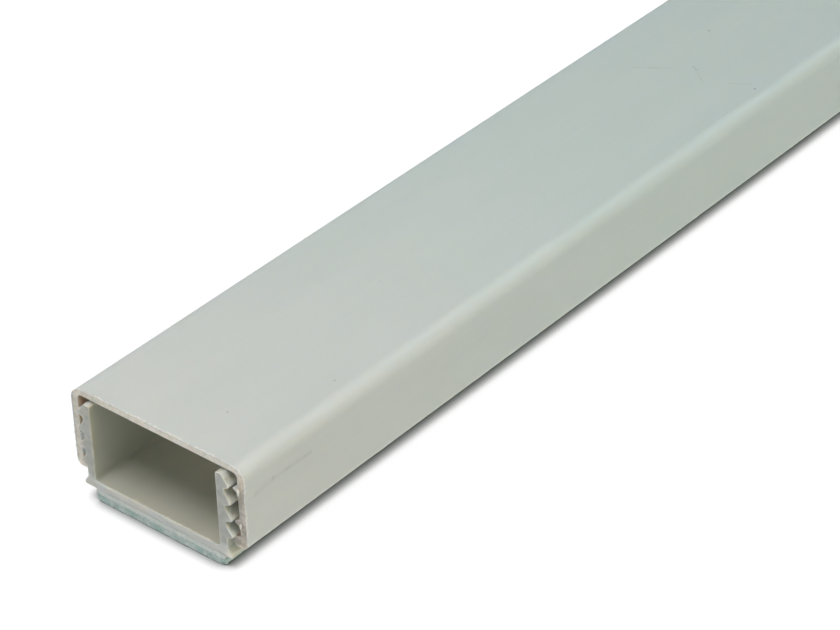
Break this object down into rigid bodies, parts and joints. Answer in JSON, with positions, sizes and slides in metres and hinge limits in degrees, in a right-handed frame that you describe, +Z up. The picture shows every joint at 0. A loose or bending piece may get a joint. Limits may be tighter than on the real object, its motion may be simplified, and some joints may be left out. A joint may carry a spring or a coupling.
{
  "type": "cord cover raceway",
  "caption": "Self-adhesive cord cover raceway: a flat channel base with toothed walls, a clip-on cover over it and a foam tape underneath.",
  "frame": {"origin": "middle of the raceway's underside, at the level of the foam tape's sticky face and at mid length", "axes": "+X across the raceway, +Y along it, +Z up out of the surface it is stuck to; the cut end with the base standing proud faces -Y"},
  "size_m": [0.03, 0.4008, 0.0165],
  "materials": {
    "cover": "satin extruded PVC",
    "base": "satin extruded PVC",
    "foam_pad": "pale cut foam",
    "foam_tape": "teal cut foam"
  },
  "bodies": {
    "root": {"cover": "cover", "base": "base", "foam_pad": "foam_pad", "foam_tape": "foam_tape"}
  },
  "joints": []
}
